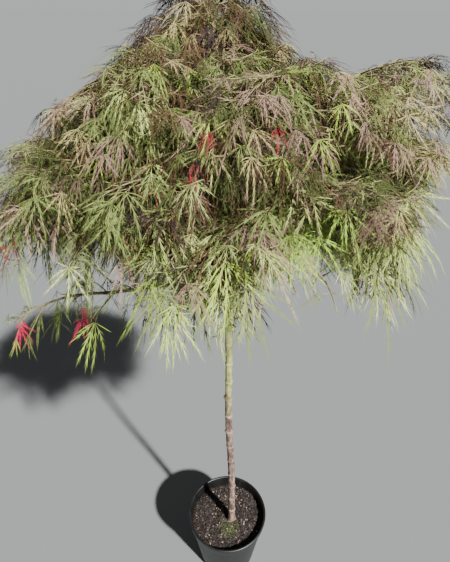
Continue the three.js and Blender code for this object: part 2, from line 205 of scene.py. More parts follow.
def place(bearing, spot):
    """A place in the crown from its bearing in degrees and its (reach from the trunk, height)."""
    angle = math.radians(bearing)
    head = trunk_axis(TRUNK["top"])
    return np.array([head[0] + spot[0] * math.cos(angle),
                     head[1] + spot[0] * CROWN_DEPTH * math.sin(angle), spot[1]])


def crest_plan():
    """The crest's stem goes straight up from the trunk's head and then leans a little, and two finer ones
    that the solids leave out lean further."""
    head = trunk_axis(TRUNK["top"])
    stems = []
    for bearing, lean, height in ((CREST["bearing"], CREST["lean"], CREST["height"]), *CREST_SIDES):
        end = place(bearing, (lean, TRUNK["top"] + height))
        stems.append(np.array([head, head + UP * height / 2, end]))
    return dict(CREST, bough=None, stems=stems)


def bough_plan(tier, mass, i):
    """One bough, the stem that goes on from its tip, and its side stems. All are Bezier curves from the
    tier's sizes, moved up or down and drawn in or out by the mass's seeded draws. A side stem or a low stem
    leaves the bough's outer part, and follows the main stem's shape on a bearing further round, nearer or
    further out and higher or lower, but it is held under the crown's top line."""
    bearing = tier["bearing"] + 360 * i / tier["count"]
    order = i * FORK_STEP % tier["count"] / max(tier["count"] - 1, 1)
    fork = trunk_axis(mix(*tier["forks"], order))
    lift = tier["lift"] * math.cos(math.radians(bearing)) ** 2
    facing = max(0.0, math.cos(math.radians(bearing - tier["long"][0])))
    shift = UNEVEN_HEIGHT * swing(mass, 0, HEIGHT)
    grow = 1 + tier["long"][1] * facing ** 4 + UNEVEN_REACH * swing(mass, 0, REACH)

    def at(spot, rise, turn=0.0, reach=1.0):
        """A tier's point at the mass's bearing: its distance is scaled and its height is shifted."""
        return place(bearing + turn, (spot[0] * grow * reach, spot[1] + shift + rise))

    tip, bend, end = at(tier["tip"], 0), at(tier["bend"], lift / 2), at(tier["end"], lift)
    heading = unit(bend - tip)
    climb = BOUGH["climb"] * np.linalg.norm(tip - fork)
    leave = unit(place(bearing, (1, 0)) - place(bearing, (0, 0)) + UP * BOUGH["rise"])
    bough = np.array([fork, fork + leave * BOUGH["root_pull"] * climb,
                      tip - heading * BOUGH["tip_pull"] * climb, tip])

    def side_stem(leaves_at, turn, reach, bend_rise, end_rise):
        """A curve from a place on the bough over the tier's bend to its end, both turned and raised."""
        bend_turn = SIDE_STEM["bend_turn"] * turn
        return np.array([bezier(bough, leaves_at), at(tier["bend"], bend_rise, bend_turn, reach),
                         at(tier["end"], end_rise, turn, reach)])

    stems = [np.array([tip, bend, end])]
    for number, side in enumerate((-1, 1) if tier["side_reach"] else ()):
        turn = side * SIDE_STEM["turn"] * SIDE_STEM["tier"] / tier["count"]
        reach = tier["side_reach"] + SIDE_STEM["vary"] * swing(mass, number, SIDE_REACH)
        rise = tier["side_rise"] + SIDE_STEM["rise_vary"] * swing(mass, number, SIDE_HEIGHT)
        stems.append(side_stem(SIDE_STEM["leaves_at"][number], turn, reach, lift / 2 + rise, lift + rise))
    for _, turn, reach, rise in (low for low in LOW_STEMS if low[0] == mass):
        stems.append(side_stem(SIDE_STEM["leaves_at"][1], turn, reach, SIDE_STEM["low_bend"] * rise, rise))
    for stem in stems[1:]:
        stem[1:, 2] = np.minimum(stem[1:, 2], top_height(stem[1:]) + (SIDE_STEM["over_top"], 0))
    return dict(tier, turn=0, first=TWIG["first"], bough=bough, stems=stems)


def crown_plan():
    """Every mass of the crown in the solids' order: the crest, then the tiers from the top down."""
    plan = [crest_plan()]
    for tier in TIERS:
        for i in range(tier["count"]):
            plan.append(bough_plan(tier, len(plan), i))
    return plan


# Twigs

# Between two of the solids' side twigs grow this many finer ones, less one. How much these may climb, and
# their length as a share of the solids' own
FINER = 3
FINER_CLIMB = 0.75
FINER_LENGTH = (0.5, 0.95)
# No twig leaves a stem nearer to its ends than this
STEM_PART = (0.05, 0.97)
# The numbers of finer twigs, of the boughs' spurs and of the stems themselves start from here. A limb's own
# twigs and leaves have ten times its number and their place on it, twigs of twigs have so many more, and
# no mass has as many limbs and leaves as the last one
FINER_NUMBERS, SPUR_NUMBERS, STEM_NUMBERS = 100, 800, 900
PLACES, SUB_NUMBERS, NUMBERS = 10, 1000, 10 ** 6
# A side twig's own side twigs: where they leave it, their length as a share of it and how much that lessens
# towards its end, their least length, and how steeply they may dive
SUB = dict(stations=(0.2, 0.42, 0.63, 0.82), length=0.5, shorten=0.45, spread=48, vary=0.3, sag=0.12,
           least=22, dive=-0.2)
# A side twig goes on past its end where the leaves are small, and high up a finer twig hangs from it
ONWARD = dict(place=5, length=98, least=14, turn=14, sag=0.2)
HANGING = dict(place=6, station=0.45, length=46, vary=0.35, out=0.5, above=1330)
# Low down, where leaves are large, fewer finer twigs grow: heights, then the shares that do
FEWER = ((1230, 1450), (0.36, 1.0))
# The shoot is the last mass of the plan
SHOOT = sum(tier["count"] for tier in TIERS)
# No finer twig ends lower than this above the crown's fringe
FRINGE_TWIGS = 42
# The crown's low fringe: places from left to right, and its height there. In front of its front line it
# rises by a share, and between two places behind it changes over to one even height
FRINGE = dict(
    across=(-420, -300, -150, -85, -60, 15, 40, 115, 160, 240, 315, 350, 390, 425),
    height=(1140, 1165, 1225, 1225, 1155, 1150, 1235, 1290, 1245, 1150, 1105, 1155, 1215, 1290),
    front=-330, rise=0.86, changes=(-20, 100), behind=1160)
# An open notch in the crown's right flank, between the middle tier's end and the low sprays: it lies beyond
# an edge that slants in towards the front, above a floor, and below a roof that rises towards the front
NOTCH = dict(edge=362, slant=0.49, floor=1226, roof=1372, rise=0.36)
# The crown's top line: places from left to right, and its height there. It falls by a share towards the
# back on the right, from nothing at the first of two places to all of it at the second
CEILING = ((-480, -300, -220, -185, -150, -120, -80, 60, 100, 130, 160, 195, 250, 320, 480),
           (1460, 1480, 1500, 1522, 1572, 1605, 1700, 1700, 1550, 1526, 1508, 1503, 1530, 1546, 1548))
FALL = dict(share=0.17, between=(60, 120))
# The stations of leaves on the stems themselves, on side twigs and on their twigs
STEM_LEAVES = (0.1, 0.22, 0.34, 0.46, 0.58, 0.7, 0.82, 0.92)
TWIG_LEAVES = (0.5, 0.86)
SUB_LEAVES = (0.7,)
# Short spurs on the outer part of each bough: how many, where they start and end and how much they wander
# there, their length and how it varies, and its share where a mass is sparse
SPURS = dict(count=7, first=0.25, last=0.98, wander=0.3, part=(0.2, 0.99), length=105, vary=(0.7, 1.1),
             sparse=0.5, spread=62)


def pooled(sets):
    """Several sets of (curves, masses, numbers) as one."""
    return [np.concatenate(values) for values in zip(*sets)]


def picked(limbs, kept):
    """The curves, masses and numbers of those limbs that are kept."""
    return [values[kept] for values in limbs]


def by_turns(numbers):
    """A side for each number: right for even ones and left for odd ones."""
    return np.where(numbers % 2 == 0, 1.0, -1.0)


def twig_curves(start, out, length, arch, sag):
    """Twigs as Bezier curves: straight out for a share of their length, and sunk by another at the end."""
    length = column(length)
    end = start + out * length - UP * sag * length
    return np.stack([start, start + out * arch * length, end], axis=-2)


def branch_out(tangent, across, side, angle, lift):
    """Headings of twigs: a limb's tangent turned sideways by an angle, and lifted a little."""
    angle = np.radians(angle)
    return unit(column(np.cos(angle)) * tangent + column(side * np.sin(angle)) * across + UP * column(lift))


def top_height(spots):
    """The height of the crown's top line at places: by their place from left to right, and on the right
    also less by a share of how far back they are."""
    start, end = FALL["between"]
    on_right = np.clip((spots[:, 0] - start) / (end - start), 0, 1)
    return np.interp(spots[:, 0], *CEILING) - FALL["share"] * on_right * spots[:, 1]


def under_top(curves):
    """Holds the ends of twigs down to the crown's top line, in place: an end takes the lower of its own
    height and the line's."""
    curves[:, 2, 2] = np.minimum(curves[:, 2, 2], top_height(curves[:, 2]))
    return curves


def twigs_on(limb, station, across, side, spread, lift, length, mass, part):
    """Twigs at shares along one limb, turned from its direction by a spread that varies by seeded draws.
    Returns their curves, masses and numbers."""
    angle = spread + TWIG["spread_vary"] * swing(mass, part, SPREAD)
    out = branch_out(tangent_at(limb, station), across, side, angle, lift)
    curves = twig_curves(bezier(limb, station), out, length, TWIG["arch"], TWIG["sag"])
    return curves, np.full(len(part), mass), part


def side_twigs(plan):
    """The side twigs of every stem: on a main stem the solids' own, at every whole place along it, and
    finer ones between them, and on a side stem fewer."""
    found = []
    for mass, entry in enumerate(plan):
        for order, stem in enumerate(entry["stems"]):
            finer = FINER if order == 0 else FINER - 1
            step = np.arange(finer * (entry["twigs"] - 1) + 1)
            own = (step % finer == 0) & (order == 0)
            part = np.where(own, step // finer, FINER_NUMBERS * (order + 1) + step)
            share = (step / finer + TWIG["wander"] * swing(mass, part, STATION)) / (entry["twigs"] - 1)
            station = np.clip(mix(entry["first"], TWIG["last"], share), *STEM_PART)
            side = by_turns(step // finer + step % finer)
            across = across_of(tangent_at(stem, station))
            if entry["turn"]:
                bearing = np.radians(entry["turn"] * step / finer)
                across = xyz(np.cos(bearing), np.sin(bearing), 0)
                side = np.ones(len(step))
            lift = np.where(own, TWIG["lift"], FINER_CLIMB * draw(mass, part, TILT))
            vary = 1 + TWIG["vary"] * swing(mass, part, LENGTH)
            length = TWIG["length"] * entry["fullness"] * vary * (1 - TWIG["shorten"] * station)
            length = length * np.where(own, 1, mix(*FINER_LENGTH, draw(mass, part, SIZE)))
            found.append(twigs_on(stem, station, across, side, TWIG["spread"], lift, length, mass, part))
    return pooled(found)


def bough_spurs(plan):
    """Short twigs along the outer part of every bough, left and right in turn, by the same rule."""
    found = []
    step = np.arange(SPURS["count"])
    part = SPUR_NUMBERS + step
    for mass, entry in enumerate(plan):
        bough = entry["bough"]
        if bough is None:
            continue
        share = (step + SPURS["wander"] * swing(mass, part, STATION)) / (SPURS["count"] - 1)
        station = np.clip(mix(SPURS["first"], SPURS["last"], share), *SPURS["part"])
        across = across_of(tangent_at(bough, station))
        length = (SPURS["length"] * mix(*SPURS["vary"], draw(mass, part, LENGTH))
                  * mix(SPURS["sparse"], 1, entry["fullness"]))
        found.append(twigs_on(bough, station, across, by_turns(step), SPURS["spread"], TWIG["lift"],
                              length, mass, part))
    return pooled(found)


def sub_twigs(curves, masses, numbers):
    """The twigs of side twigs: to the left and right in turn at each of the stations, one that goes on
    from the end for as far as the leaves are shorter than the solids', and high up one that hangs. They
    are held under the top line, left out near the fringe and in the notch, and thinned by a chance low
    down."""
    found = []
    whole = np.linalg.norm(curves[:, 2] - curves[:, 0], axis=-1)
    first = PLACES * numbers + SUB_NUMBERS
    for k, station in enumerate(SUB["stations"]):
        part = first + k
        tangent = tangent_at(curves, station)
        angle = SUB["spread"] + TWIG["spread_vary"] * swing(masses, part, SPREAD)
        out = branch_out(tangent, across_of(tangent), by_turns(k + numbers), angle, TWIG["lift"])
        out[:, 2] = np.maximum(out[:, 2], SUB["dive"])
        vary = 1 + SUB["vary"] * swing(masses, part, LENGTH)
        length = np.maximum(SUB["length"] * whole * vary * (1 - SUB["shorten"] * station), SUB["least"])
        found.append((twig_curves(bezier(curves, station), out, length, TWIG["arch"], SUB["sag"]),
                      masses, part))
    out = turned_about_up(unit(tangent_at(curves, 1) + UP * TWIG["lift"]),
                          ONWARD["turn"] * swing(masses, numbers, ONWARD_TURN))
    spare = (1 - leaf_scale(curves[:, 2, 2])) * growth(curves[:, 2], masses)
    length = ONWARD["least"] + ONWARD["length"] * spare * draw(masses, numbers, ONWARD_LENGTH)
    found.append((twig_curves(curves[:, 2], out, length, TWIG["arch"], ONWARD["sag"]),
                  masses, first + ONWARD["place"]))
    high = curves[:, 0, 2] > HANGING["above"]
    upper, mass, part = picked((curves, masses, first + HANGING["place"]), high)
    level = tangent_at(upper, HANGING["station"]) * (1, 1, 0)
    out = unit(turned_about_up(level, 180 * swing(mass, part, SPREAD)) * HANGING["out"] - UP)
    length = HANGING["length"] * (1 + HANGING["vary"] * swing(mass, part, LENGTH))
    found.append((twig_curves(bezier(upper, HANGING["station"]), out, length, TWIG["arch"], 0), mass, part))
    twigs = pooled(found)
    ends = under_top(twigs[0])[:, 2]
    few = np.interp(ends[:, 2], *FEWER)
    open_air = in_notch(ends) | (ends[:, 2] < fringe_height(ends, twigs[1]) + FRINGE_TWIGS)
    return picked(twigs, ~open_air & (draw(twigs[1], twigs[2], FEW) < few))


# Leaves

# Leaves low down in the shade are large, the ones at the sunny top are small, and the crest's are a little
# larger again: heights, then scales
LEAF_SCALE = ((1230, 1430, 1550, 1600), (1.26, 0.54, 0.45, 0.66))
# Young leaves at the crown's rim and low fringe are short: the half width and depth of the crown, the rim's
# edge as a share of them and how far in from it leaves are full-grown, how far above the fringe they are,
# and the least share of a length
RIM = dict(width=478, depth=396, edge=1.08, inside=0.3, above=80, least=0.45)
# Leaves of a full mass have their whole size, and those of a mass with no fullness would have this share
SPARSE_SCALE = 0.28
# A leaf hangs by this share of its length below the line of its middle lobe, and is left out where it would
# hang below the fringe, or where its hub is more than so far above the crown's top line
HANGS = 0.33
OVER_TOP = 12
# Low down there are fewer leaves: heights, then the shares that are left
FEWER_LEAVES = ((1180, 1330, 1420), (0.6, 0.66, 1.0))
# Newly grown red leaves are this much smaller, apart from those further left than the shoot's end
YOUNG = 0.62
SHOOT_END = -330
# How many of the leaves in pairs have grown
PAIRED = 0.7
# A leaf: its stalk, the way that it looks and slopes, and how far its lobes fan, droop and curl. Leaves of
# a scale below flat_below are flatter, and two more ranges hold the scales of the droop and the width
LEAF = dict(length=98, vary=0.2, grown=(0.74, 1.08), petiole=20, petiole_vary=(0.6, 1.3), climb=0.35,
            tilt=(-0.3, 0.65), slope=(0.05, 0.95), flat=0.45, flat_below=1.2, onward=0.6, outward=0.85,
            twist=52, roll=0.7, fan=(0.7, 1.1), lobe_turn=9, lobe_vary=0.14, droop=(0.1, 0.56), lose=0.35,
            curl=0.28, droop_scale=(0.68, 1.2), width_scale=(0.85, 1.35))
# The lobes fan from the end of the stalk: for each, its angle, its length as a share of the middle one,
# and how many pairs of teeth it has
LOBES = [(-106, 0.42, 0), (-70, 0.7, 3), (-35, 0.92, 4), (0, 1.0, 4),
         (35, 0.92, 4), (70, 0.7, 3), (106, 0.42, 0)]
# Close above the fringe leaves hang like tassels: how far above it they start to, how much more their
# middle lobe slopes down, and how far their fan is folded. In the top tiers they hang so in part
TASSEL = dict(above=150, slope=0.8, fan=0.5)
TOP_HANG = dict(crest=0.6, upper=0.38, middle=0.16)
# Large leaves hang with their lobes closer together: leaf scales, then the shares of the fan
NARROW = ((0.6, 1.25), (1.0, 0.8))
# A lobe is a narrow strip with slender teeth that point forward. Its strip is cut across at some shares of
# the lobe and half as wide there as a share of the leaf's length. Each tooth is shorter than the one
# before
CUTS = ((0.03, 0.005), (0.36, 0.0125), (0.7, 0.009))
TOOTH = dict(first=0.2, step=0.165, base=0.062, foot=0.007, on=0.15, out=0.082, shorter=0.16)


def leaf_scale(z):
    """How long leaves are at a height as a share of the solids' leaves: an even change between heights."""
    return np.interp(z, *LEAF_SCALE)


def fringe_height(spots, masses):
    """The height of the crown's low fringe at places: by their place from left to right, changing over to
    the even height behind, and higher by a share of how far they are in front of the front line. Only the
    long low shoot grows below it."""
    across, back = spots[:, 0], spots[:, 1]
    start, end = FRINGE["changes"]
    height = mix(np.interp(across, FRINGE["across"], FRINGE["height"]), FRINGE["behind"],
                 np.clip((back - start) / (end - start), 0, 1))
    height = height + FRINGE["rise"] * np.clip(FRINGE["front"] - back, 0, None)
    return np.where(masses == SHOOT, 0, height)


def in_notch(spots):
    """Whether places lie in the notch: beyond its edge, above its floor and below its roof."""
    x, y, z = spots.T
    beyond = x > NOTCH["edge"] + NOTCH["slant"] * y
    return beyond & (z > NOTCH["floor"]) & (z < NOTCH["roof"] - NOTCH["rise"] * y)


def growth(spots, masses):
    """How full-grown leaves are at places: less towards the crown's rim, an ellipse in plan, and less
    towards its low fringe."""
    rim = np.hypot(spots[:, 0] / RIM["width"], spots[:, 1] / RIM["depth"])
    outer = (RIM["edge"] - rim) / RIM["inside"]
    low = (spots[:, 2] - fringe_height(spots, masses)) / RIM["above"]
    return np.clip(np.minimum(outer, low), RIM["least"], 1)


def leaf_template():
    """A leaf's points as rows of (its lobe, place along it, place across it), and its faces. A lobe's strip
    has a left and a right point at each cut and one at its tip. A tooth is a triangle with its base just
    inside the strip's edge, and its tip forward of the base and out from it."""
    rows, quads, triangles = [], [], []
    for lobe, (_, _, pairs) in enumerate(LOBES):
        first = len(rows)
        rows += [(lobe, cut, side * half) for cut, half in CUTS for side in (1, -1)]
        tip = len(rows)
        rows.append((lobe, 1.0, 0.0))
        quads += [(i, i + 1, i + 3, i + 2) for i in range(first, tip - 2, 2)]
        triangles.append((tip - 2, tip - 1, tip))
        for tooth in range(pairs):
            cut = TOOTH["first"] + TOOTH["step"] * tooth
            reach = TOOTH["out"] * (1 - TOOTH["shorter"] * tooth)
            for side in (1, -1):
                at = len(rows)
                foot, base = side * TOOTH["foot"], cut + TOOTH["base"]
                rows += [(lobe, cut, foot), (lobe, base, foot), (lobe, base + TOOTH["on"], side * reach)]
                triangles.append((at, at + 1, at + 2)[::side])
    return np.array(rows), np.array(quads), np.array(triangles)


def leaves_of(limbs, station, side, k):
    """The leaves at one station of many limbs, one on each: root, tangent, and what their draws need. The
    leaves of a side twig and of its twigs are one spray."""
    curves, masses, numbers = limbs
    spray = np.where(numbers < SUB_NUMBERS, numbers, (numbers - SUB_NUMBERS) // PLACES)
    return dict(root=bezier(curves, station), tangent=tangent_at(curves, station), mass=masses,
                part=PLACES * numbers + k, side=np.full(len(curves), float(side)), spray=spray)


def leaf_frames(leaves):
    """Each leaf's hub at the end of its stalk, the direction of its middle lobe, the way that its face
    looks, and its length, by the solids' rule. The smaller a leaf is, the less its middle lobe slopes
    down, and the more it hangs, the more. The face rolls a little to one side."""
    mass, part, side = leaves["mass"], leaves["part"], leaves["side"]
    onward = np.where(side == 0, 1.0, LEAF["onward"])
    heading = unit(column(onward) * leaves["tangent"]
                   + column(side * LEAF["outward"]) * across_of(leaves["tangent"]))
    heading = turned_about_up(heading, LEAF["twist"] * swing(mass, part, TWIST))
    heading[:, 2] = np.clip(heading[:, 2], -LEAF["climb"], LEAF["climb"])
    petiole = LEAF["petiole"] * mix(*LEAF["petiole_vary"], draw(mass, part, PETIOLE))
    tilt = mix(*LEAF["tilt"], draw(mass, part, TILT))
    hub = leaves["root"] + column(petiole) * unit(heading + column(tilt) * UP)
    slope = mix(*LEAF["slope"], draw(mass, part, SLOPE))
    slope = slope - LEAF["flat"] * (LEAF["flat_below"] - leaves["scale"]) + TASSEL["slope"] * leaves["hang"]
    lobe = unit(heading - column(slope) * UP)
    face = unit(UP - lobe * lobe[:, 2:])
    face = unit(face + column(LEAF["roll"] * swing(mass, part, ROLL)) * np.cross(face, lobe))
    length = LEAF["length"] * leaves["scale"] * (1 + LEAF["vary"] * swing(mass, part, LEAF_LENGTH))
    return hub, lobe, face, length * mix(*LEAF["grown"], draw(mass, part, SIZE))


def leaf_points(leaves):
    """The points of every leaf. A lobe's middle line starts from the hub in its own direction, sinks by
    the square of the way along it, and curls sideways by that square too. A point of the lobe lies across
    that line by its own share of the leaf's length, times the leaf's scale."""
    hub, lobe, face, length = leaf_frames(leaves)
    mass, part = leaves["mass"][:, None], leaves["part"][:, None]
    rows, quads, triangles = leaf_template()
    angles, shares = np.array([(angle, share) for angle, share, _ in LOBES]).T
    number = np.arange(len(LOBES))
    narrow = np.interp(leaves["scale"], *NARROW) * mix(1, TASSEL["fan"], leaves["hang"])
    fan = mix(*LEAF["fan"], draw(mass, part, FAN)) * narrow[:, None]
    angle = np.radians(angles * fan + LEAF["lobe_turn"] * swing(mass, part + 7 * number, CURL))
    beside = np.cross(face, lobe)[:, None]
    out = unit(column(np.cos(angle)) * lobe[:, None] + column(np.sin(angle)) * beside)
    side = unit(np.cross(face[:, None] + 0 * out, out))
    size = length[:, None] * shares * (1 + LEAF["lobe_vary"] * swing(mass, part + number, SIZE))
    droop = size * mix(*LEAF["droop"], draw(mass, part + 5 * number, DROOP))
    droop = droop * np.clip(leaves["scale"], *LEAF["droop_scale"])[:, None]
    curl = size * LEAF["curl"] * swing(mass, part + 3 * number, CURL)
    of, along, across = rows[:, 0].astype(int), rows[:, 1], rows[:, 2]
    out, side, size, droop, curl = (x[:, of] for x in (out, side, size, droop, curl))
    sink = droop * along ** 2
    width = length * np.clip(leaves["scale"], *LEAF["width_scale"])
    wide = curl * along ** 2 + width[:, None] * across
    points = (hub[:, None] + out * column(size * along - LEAF["lose"] * sink)
              - UP * column(sink) + side * column(wide))
    base = len(rows) * np.arange(len(hub)).reshape(-1, 1, 1)
    faces = [(base + corners).reshape(-1, corners.shape[1]) for corners in (quads, triangles)]
    return points.reshape(-1, 3), faces


# Meshes

# A direction that no limb takes: the first point of a limb's first ring lies towards it
RING_START = (1.0, 0.37, 0.21)


def tubes(controls, root, tip, sides, steps):
    """Round limbs along Bezier curves. A ring of points stands square to the curve at every step, its
    radius runs evenly from root to tip, and its first point is carried on from ring to ring by taking
    out what lies along the tangent. A flat face closes each end."""
    t = np.linspace(0, 1, steps + 1)
    centre = bezier(controls[:, None], t)
    tangent = tangent_at(controls[:, None], t) + 0 * centre
    across = np.broadcast_to(RING_START, centre[:, 0].shape)
    rings = []
    angle = all_round(sides)
    for step in range(steps + 1):
        along = tangent[:, step]
        across = unit(across - along * np.sum(across * along, axis=-1, keepdims=True))
        other = np.cross(along, across)
        radius = mix(np.asarray(root, float), np.asarray(tip, float), t[step]) * np.ones(len(controls))
        rim = np.cos(angle)[:, None] * across[:, None] + np.sin(angle)[:, None] * other[:, None]
        rings.append(centre[:, step, None] + rim * radius[:, None, None])
    points = np.stack(rings, axis=1)
    return points.reshape(-1, 3), tube_faces(len(controls), steps, sides)


def tube_faces(count, steps, sides):
    """The faces of many equal tubes: quads between neighbouring rings, and one face at each end."""
    start = ((steps + 1) * sides * np.arange(count))[:, None]
    ring, i = (x.reshape(1, -1) for x in np.meshgrid(np.arange(steps), np.arange(sides), indexing="ij"))
    a, b = start + ring * sides + i, start + ring * sides + (i + 1) % sides
    quads = np.stack([a, b, b + sides, a + sides], axis=-1).reshape(-1, 4)
    near = start + np.arange(sides)[::-1]
    far = start + steps * sides + np.arange(sides)
    return [quads, near, far]


def shell(points):
    """Faces of a closed grid: rows from pole to pole, columns all round. The first and last row are one
    point each, joined to their neighbours by triangles."""
    rows, columns = points.shape[:2]
    body = points[1:-1].reshape(-1, 3)
    i, j = (x.ravel() for x in np.meshgrid(np.arange(rows - 3), np.arange(columns), indexing="ij"))
    a, b = i * columns + j, i * columns + (j + 1) % columns
    quads = np.stack([a, b, b + columns, a + columns], axis=-1)
    south, north = len(body), len(body) + 1
    ring = np.arange(columns)
    first = np.stack([np.full(columns, south), (ring + 1) % columns, ring], axis=-1)
    top = (rows - 3) * columns
    last = np.stack([top + ring, top + (ring + 1) % columns, np.full(columns, north)], axis=-1)
    return np.concatenate([body, points[:1, 0], points[-1:, 0]]), [quads, first, last]


def joined(parts):
    """Several sets of points and faces as one."""
    points, faces, start = [], [], 0
    for some_points, some_faces in parts:
        points.append(some_points)
        faces += [face + start for face in some_faces]
        start += len(some_points)
    return np.concatenate(points), faces


def stood(name, data):
    """A new object in the scene."""
    made = bpy.data.objects.new(name, data)
    bpy.context.scene.collection.objects.link(made)
    return made


def add_piece(name, points, faces, material, slot, nodes=(), smooth=True):
    """A mesh in metres from points in millimetres, as a piece that rides on the plant."""
    mesh = bpy.data.meshes.new(name)
    mesh.vertices.add(len(points))
    mesh.vertices.foreach_set("co", (points * METRES).astype(np.float32).ravel())
    corners = np.concatenate([face.ravel() for face in faces]).astype(np.int32)
    sizes = np.concatenate([np.full(len(face), face.shape[1]) for face in faces])
    mesh.loops.add(len(corners))
    mesh.loops.foreach_set("vertex_index", corners)
    mesh.polygons.add(len(sizes))
    mesh.polygons.foreach_set("loop_start", (np.cumsum(sizes) - sizes).astype(np.int32))
    mesh.polygons.foreach_set("use_smooth", np.full(len(sizes), smooth))
    mesh.update(calc_edges=True)
    mesh.materials.append(material)
    piece = stood(name, mesh)
    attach(piece, "root")
    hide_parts(*nodes)
    return piece


# Materials


class Shade:
    """A socket of a material's nodes. Arithmetic on shades adds Math nodes."""

    def __init__(self, tree, socket):
        self.tree, self.socket = tree, socket

    def _math(self, operation, *values):
        """One Math node on the values."""
        return node(self.tree, "ShaderNodeMath", {"operation": operation}, dict(enumerate(values)))

    def __add__(self, other):
        return self._math("ADD", self, other)

    def __sub__(self, other):
        return self._math("SUBTRACT", self, other)

    def __rsub__(self, other):
        return self._math("SUBTRACT", other, self)

    def __mul__(self, other):
        return self._math("MULTIPLY", self, other)

    __radd__ = __add__
    __rmul__ = __mul__


def node(tree, kind, settings=None, sockets=None, output=0):
    """Adds a node of a kind to a tree: first its settings, then the value or the link of each socket. A
    ramp's setting is its list of (place, colour) stops."""
    made = tree.nodes.new(kind)
    for name, value in (settings or {}).items():
        if name == "stops":
            stops = made.color_ramp.elements
            while len(stops) < len(value):
                stops.new(0.5)
            for stop, (at, colour) in zip(stops, value):
                stop.position, stop.color = at, (*colour, 1)
        else:
            setattr(made, name, value)
    for name, value in (sockets or {}).items():
        if isinstance(value, Shade):
            tree.links.new(value.socket, made.inputs[name])
        else:
            made.inputs[name].default_value = value
    return Shade(tree, made.outputs[output])


def finish(name, **sockets):
    """A new material. Its one shader takes the sockets' values."""
    material = bpy.data.materials.new(name)
    material.use_nodes = True
    shader = material.node_tree.nodes["Principled BSDF"]
    for socket, value in sockets.items():
        shader.inputs[socket.replace("_", " ")].default_value = value
    return material


def wire(material, socket, shade):
    """Links a shade to one of the material's shader sockets."""
    shader = material.node_tree.nodes["Principled BSDF"]
    material.node_tree.links.new(shade.socket, shader.inputs[socket])


def hexed(text):
    """A colour from its six web digits, turned from display values to linear ones."""
    shares = [int(text[i:i + 2], 16) / 255 for i in (0, 2, 4)]
    return tuple(c / 12.92 if c <= 0.04045 else ((c + 0.055) / 1.055) ** 2.4 for c in shares)


def piece_spot(tree):
    """The place on a piece, in metres."""
    return node(tree, "ShaderNodeTexCoord", output=3)


def cloud(tree, scale, detail, roughness=0.5):
    """Noise on a piece: each axis has its own scale, in turns a metre."""
    spot = node(tree, "ShaderNodeMapping", sockets={"Vector": piece_spot(tree), "Scale": scale})
    return node(tree, "ShaderNodeTexNoise", sockets={
        "Vector": spot, "Scale": 1.0, "Detail": detail, "Roughness": roughness})


def ramp(tree, shade, *stops):
    """Colours by a shade's value: each stop is a value and a colour."""
    stops = [(at, hexed(colour)) for at, colour in stops]
    return node(tree, "ShaderNodeValToRGB", {"stops": stops}, {"Fac": shade})


def blend(tree, share, first, second):
    """Two colours mixed by a share."""
    return node(tree, "ShaderNodeMix", {"data_type": "RGBA"}, {0: share, 6: first, 7: second}, output=2)


def ranged(tree, shade, start, end, most=1.0):
    """A shade spread from nothing at one value to the most at another."""
    return node(tree, "ShaderNodeMapRange", sockets={
        "Value": shade, "From Min": start, "From Max": end, "To Max": most})


def bump(material, shade, strength, height):
    """Raises a material's surface by a shade, up to a height in metres."""
    wire(material, "Normal", node(material.node_tree, "ShaderNodeBump", sockets={
        "Height": shade, "Strength": strength, "Distance": height}))


def plain(name, colour, roughness, **sockets):
    """A material of one plain colour."""
    return finish(name, Base_Color=(*hexed(colour), 1), Roughness=roughness, **sockets)


def leaf_finish(name, colour):
    """A leaf tint: one plain colour, nearly matt, so that a light from behind doesn't turn it white."""
    return plain("leaf_" + name, colour, 0.75, Specular_IOR_Level=0.06)


def bark_finish():
    """The trunk's bark: red-brown and grey low down, changing to yellow-green by its height, and streaked
    along the trunk by noise that is drawn out upwards. A pale ring shows where the cosine of the height,
    one turn a joint, is near 1, and a coarser noise breaks it up."""
    material = finish("bark", Roughness=0.75, Specular_IOR_Level=0.25)
    tree = material.node_tree
    height = node(tree, "ShaderNodeSeparateXYZ", sockets={"Vector": piece_spot(tree)}, output=2)
    streaks = cloud(tree, (130, 130, 34), 6.0, 0.7)
    blotches = cloud(tree, (40, 40, 22), 3.0)
    old = ramp(tree, streaks, (0.34, "35282a"), (0.5, "665148"), (0.66, "9c8a76"))
    young = ramp(tree, streaks, (0.3, "5f6038"), (0.5, "8c8f55"), (0.7, "b3b57c"))
    base = blend(tree, ranged(tree, height + blotches * 0.12, 0.77, 0.87), old, young)
    turn = (height - TRUNK["first_joint"] * METRES) * (2 * math.pi / (TRUNK["joint_spacing"] * METRES))
    ring = node(tree, "ShaderNodeMath", {"operation": "COSINE"}, {0: turn})
    pale = ranged(tree, ring + blotches * 0.5, 1.13, 1.36, 0.6)
    wire(material, "Base Color", blend(tree, pale, base, (*hexed("b9a783"), 1)))
    bump(material, streaks, 0.5, 0.0012)
    return material


def young_bark_finish():
    """The boughs' smooth young bark: olive green, mottled with brown by noise."""
    material = finish("young_bark", Roughness=0.6, Specular_IOR_Level=0.3)
    tree = material.node_tree
    mottle = cloud(tree, (60, 60, 60), 4.0)
    wire(material, "Base Color", ramp(tree, mottle, (0.35, "5b4a33"), (0.55, "7f7a48"), (0.7, "a59c66")))
    return material


def pot_finish():
    """Black moulded plastic: greyed by dried dust and rougher where a noise is high, with a fine grain."""
    material = finish("pot_plastic", Specular_IOR_Level=0.5)
    tree = material.node_tree
    scuffs = cloud(tree, (30, 30, 9), 8.0, 0.65)
    wire(material, "Base Color", ramp(tree, scuffs, (0.4, "080908"), (0.6, "121312"), (0.8, "3c3d39")))
    wire(material, "Roughness", 0.28 + scuffs * 0.3)
    bump(material, cloud(tree, (900, 900, 900), 2.0), 0.15, 0.0003)
    return material


